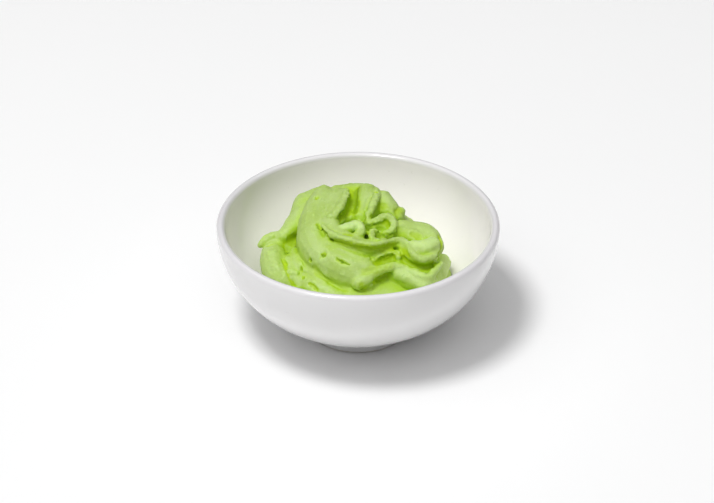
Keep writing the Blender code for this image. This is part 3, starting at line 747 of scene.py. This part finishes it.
def joined_folds():
    """The heap and every fold in one mesh, still overlapping."""
    heap = turned("heap", heap_profile(), HEAP_STEPS)
    shape = bmesh.new()
    shape.from_mesh(heap.data)
    bpy.data.objects.remove(heap)
    for name, points in FOLDS.items():
        for layer in layers(name, points):
            shape.from_mesh(fold_mesh(name, layer))
    bmesh.ops.remove_doubles(shape, verts=shape.verts, dist=MERGE_DISTANCE)
    mesh = bpy.data.meshes.new("wasabi_swirl")
    shape.to_mesh(mesh)
    shape.free()
    return new_object("wasabi_swirl", mesh)


def fuse(paste):
    """One skin round all the folds, with their creases a little softened."""
    skin = paste.modifiers.new("Fuse", "REMESH")
    skin.mode = "VOXEL"
    skin.voxel_size = PASTE_GRAIN
    soften = paste.modifiers.new("Soften", "SMOOTH")
    soften.factor = SOFTEN_SHARE
    soften.iterations = SOFTEN_PASSES
    return bake(paste)


def thin_out(paste):
    """The same skin in fewer triangles."""
    count = sum(len(face.vertices) - 2 for face in paste.data.polygons)
    thin = paste.modifiers.new("Thin out", "DECIMATE")
    thin.ratio = min(1, MOST_TRIANGLES / count)
    return bake(paste)


class Skin:
    """The paste's points as arrays, to be moved and written back."""

    def __init__(self, mesh):
        self.mesh = mesh
        self.places = np.empty(len(mesh.vertices) * 3)
        mesh.vertices.foreach_get("co", self.places)
        self.places = self.places.reshape(-1, 3)
        ends = np.empty(len(mesh.edges) * 2, np.int64)
        mesh.edges.foreach_get("vertices", ends)
        self.ends = ends.reshape(-1, 2)
        self.count = np.maximum(np.bincount(ends, minlength=len(self.places)), 1)
        self.read_normals()

    def read_normals(self):
        normals = np.empty(len(self.mesh.vertices) * 3)
        self.mesh.vertices.foreach_get("normal", normals)
        self.normals = normals.reshape(-1, 3)

    def write(self):
        self.mesh.vertices.foreach_set("co", self.places.ravel())
        self.mesh.update()
        self.read_normals()

    def store(self, name, values):
        """Keeps one number a point in the mesh, for the material."""
        kept = self.mesh.attributes.new(name, "FLOAT", "POINT")
        kept.data.foreach_set("value", values.astype(np.float32))

    def spread(self, values, passes):
        """Values, or rows of them, one a point, averaged with their neighbours' that many times."""
        first, second = self.ends.T
        rows = values.reshape(len(values), -1)
        for _ in range(passes):
            total = np.zeros_like(rows)
            for k in range(rows.shape[1]):
                total[:, k] = np.bincount(first, rows[second, k], len(rows))
                total[:, k] += np.bincount(second, rows[first, k], len(rows))
            rows = 0.5 * rows + 0.5 * total / self.count[:, None]
        return rows.reshape(values.shape)

    def bulge(self, passes):
        """How far each point stands out of the surface round it, in metres: below 0 in a hollow."""
        smooth = self.spread(self.places, passes)
        return ((self.places - smooth) * self.normals).sum(axis=1)

    def noise(self, size, seed, octaves=2):
        """Noise between about -1 and 1 whose lumps are that size in metres."""
        shift = Vector([seed * step for step in SEED_STEP])
        scaled = self.places / size
        return np.array([noise.fractal(Vector(p) + shift, 1.0, 2.0, octaves) for p in scaled])

    def push(self, amount):
        """Moves each point along its normal."""
        self.places += self.normals * amount[:, None]
        self.write()

    def roughen(self, relief, share=1):
        """Adds relief of the given height, size, seed and octaves, or a share of it at each point."""
        height, size, seed, octaves = relief
        self.push(height * share * self.noise(size, seed, octaves))


def closeness(skin, course):
    """How near each point lies to a course, 1 on it and 0 from its radius outwards."""
    nearest = np.zeros(len(skin.places))
    for start, end in zip(course, course[1:]):
        start = np.array(start) * MM
        end = np.array(end) * MM
        along = end[:3] - start[:3]
        share = np.clip((skin.places - start[:3]) @ along / (along @ along), 0, 1)
        away = np.linalg.norm(skin.places - start[:3] - share[:, None] * along, axis=1)
        radius = start[3] + share * (end[3] - start[3])
        nearest = np.maximum(nearest, 1 - away / radius)
    return nearest


def carve(skin):
    """Scoops out the hollows, cuts the small marks and returns each point's painted shading: shade above 0,
    light below.
    """
    raggedness, size, seed = RAGGED
    rough = raggedness * skin.noise(size, seed)
    painted_shading = np.zeros(len(skin.places))
    pushed = np.zeros(len(skin.places))
    for shading_level, depth, course in REGIONS.values():
        near = closeness(skin, course)
        share = grade(near + rough * (near > 0), *REGION_SHADING_NEAR)
        painted_shading += share * (shading_level - painted_shading)
        pushed -= depth * MM * grade(near, *REGION_DEEP_NEAR)
    painted_shading = skin.spread(painted_shading, SHADING_PASSES)
    for shading_level, depth, course in MARKS.values():
        near = closeness(skin, course)
        near += rough * (near > 0)
        painted_shading += grade(near, *MARK_SHADING_NEAR) * (shading_level - painted_shading)
        pushed -= depth * MM * grade(near, *MARK_DEEP_NEAR)
    skin.push(pushed)
    return painted_shading


def near_crests(skin):
    """How near each point lies to the closest crest, 1 on it and 0 a little outside it."""
    courses = [[(x, y, z, r + TORN_MARGIN) for x, y, z, r in FOLDS[name]] for name in CRESTS]
    return np.max([closeness(skin, course) for course in courses], axis=0)


def add_texture(skin):
    """Waves, lumps and crumb all over, and torn, crinkled edges along the lips."""
    skin.roughen(WAVES)
    skin.roughen(LUMPS)
    skin.roughen(TORN_CRESTS, grade(near_crests(skin), *TORN_NEAR))
    lips = skin.spread(skin.bulge(LIP_SURROUNDINGS), LIP_PASSES)
    skin.roughen(CRINKLED_LIPS, grade(lips, *LIP_RISE))
    skin.roughen(CRUMB)


def keep_in_bowl(skin):
    """Lifts what would touch the bowl, so that the gap to it stays clear."""
    across = np.hypot(skin.places[:, 0], skin.places[:, 1])
    lowest = wall_height(across, RIM_RADIUS - WALL - GAP, BELLY_DEPTH - WALL - GAP)
    skin.places[:, 2] = np.maximum(skin.places[:, 2], lowest)
    skin.write()


def ray_fan():
    """Directions over the half space about +Z, denser towards it as light on a matt face counts."""
    rays = []
    for ring, count in RAY_RINGS:
        across = math.sqrt(ring)
        for i in range(count):
            turn = math.tau * (i + ring) / count
            rays.append(Vector((across * math.cos(turn), across * math.sin(turn), math.sqrt(1 - ring))))
    return rays


def hidden_share(skin, tree):
    """How much of the half space over each point the paste itself hides. Near things count most."""
    rays = ray_fan()
    hidden = np.zeros(len(skin.places))
    for index, (place, normal) in enumerate(zip(skin.places.tolist(), skin.normals.tolist())):
        normal = Vector(normal)
        start = Vector(place) + normal * RAY_LIFT * MM
        turn = normal.to_track_quat("Z", "Y")
        for ray in rays:
            distance = tree.ray_cast(start, turn @ ray, REACH)[3]
            if distance is not None:
                hidden[index] += 1 - FAR_LOSS * distance / REACH
    return hidden / len(rays)


def mark_painted_shade_and_highlights(skin):
    """Stores how hidden each point lies, up to 1 in a deep crease, for painted shade, and how much of an
    edge it is, for a painted highlight.
    """
    faces = [tuple(face.vertices) for face in skin.mesh.polygons]
    tree = BVHTree.FromPolygons(skin.places.tolist(), faces)
    skin.store("hollow", skin.spread(hidden_share(skin, tree), HIDDEN_PASSES))
    skin.store("edge", grade(skin.bulge(EDGE_SURROUNDINGS), *EDGE_RISE))


def make_paste():
    """The swirl: folds fused into one skin, then carved, textured and marked for its material's painted
    shade and light.
    """
    paste = thin_out(fuse(joined_folds()))
    skin = Skin(paste.data)
    painted_shading = carve(skin)
    add_texture(skin)
    keep_in_bowl(skin)
    mark_painted_shade_and_highlights(skin)
    skin.store("painted_shading", painted_shading)
    paste.data.materials.clear()
    paste.data.materials.append(wasabi_material())
    paste.data.shade_smooth()
    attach(paste, "root")
    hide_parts("wasabi_paste")


# ---------------------------------------------------------------- studio


def make_floor():
    """A plain floor at z = 0, wide enough to fill the view."""
    bpy.ops.mesh.primitive_grid_add(x_subdivisions=4, y_subdivisions=4, size=FLOOR_SIDE)
    floor = bpy.context.object
    floor.name = "floor"
    floor.data.materials.append(floor_material())


def make_camera():
    """Looks down at the rim's centre, aimed a little lower, so that the bowl sits above the middle."""
    camera = bpy.data.cameras.new("camera")
    camera.lens = LENS
    camera.sensor_width = SENSOR
    camera.clip_start = CLIP_START
    made = new_object("camera", camera)
    aim = Vector((-CAMERA_LEFT, 0, BOWL_HEIGHT))
    back = Vector((0, -math.cos(LOOK_DOWN), math.sin(LOOK_DOWN)))
    made.location = aim + back * CAMERA_DISTANCE
    made.rotation_euler = (math.pi / 2 - LOOK_DOWN - AIM_BELOW, 0, 0)
    bpy.context.scene.camera = made


def add_key():
    """A round lamp about half a metre away. It lights near and far alike, so that the floor stays even."""
    lamp = bpy.data.lights.new("key", "POINT")
    lamp.energy = KEY_LIGHT * 4 * math.pi
    lamp.shadow_soft_size = KEY_RADIUS
    lamp.use_nodes = True
    tree = lamp.node_tree
    fall = tree.nodes.new("ShaderNodeLightFalloff")
    fall.inputs["Strength"].default_value = 1
    tree.links.new(fall.outputs["Constant"], tree.nodes["Emission"].inputs["Strength"])
    new_object("key", lamp).location = KEY_PLACE


def add_far_lamp(name, strength, width, height, bearing):
    """A lamp so far away that its light comes from one direction, as wide as its disc."""
    lamp = bpy.data.lights.new(name, "SUN")
    lamp.energy = strength
    lamp.angle = math.radians(width)
    height = math.radians(height)
    bearing = math.radians(bearing)
    level = math.cos(height)
    towards = Vector((level * math.cos(bearing), level * math.sin(bearing), math.sin(height)))
    new_object(name, lamp).rotation_euler = towards.to_track_quat("Z", "Y").to_euler()


def make_lights():
    """A soft key high on the left, a weak fill in front, a very broad light overhead and a dim room."""
    add_key()
    for name, settings in FAR_LAMPS.items():
        add_far_lamp(name, *settings)
    world = bpy.data.worlds.new("studio")
    bpy.context.scene.world = world
    world.use_nodes = True
    room = world.node_tree.nodes["Background"]
    room.inputs["Color"].default_value = (1, 1, 1, 1)
    room.inputs["Strength"].default_value = ROOM_LIGHT


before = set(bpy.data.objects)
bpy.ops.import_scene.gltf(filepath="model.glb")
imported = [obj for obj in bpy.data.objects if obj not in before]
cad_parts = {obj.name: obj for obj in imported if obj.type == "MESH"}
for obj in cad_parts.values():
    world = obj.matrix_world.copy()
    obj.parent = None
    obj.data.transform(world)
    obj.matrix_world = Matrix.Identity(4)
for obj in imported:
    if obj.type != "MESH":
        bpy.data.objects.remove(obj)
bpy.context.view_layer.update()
bpy.context.scene.view_settings.view_transform = "Standard"
make_camera()
make_floor()
make_lights()
make_bowl()
make_paste()
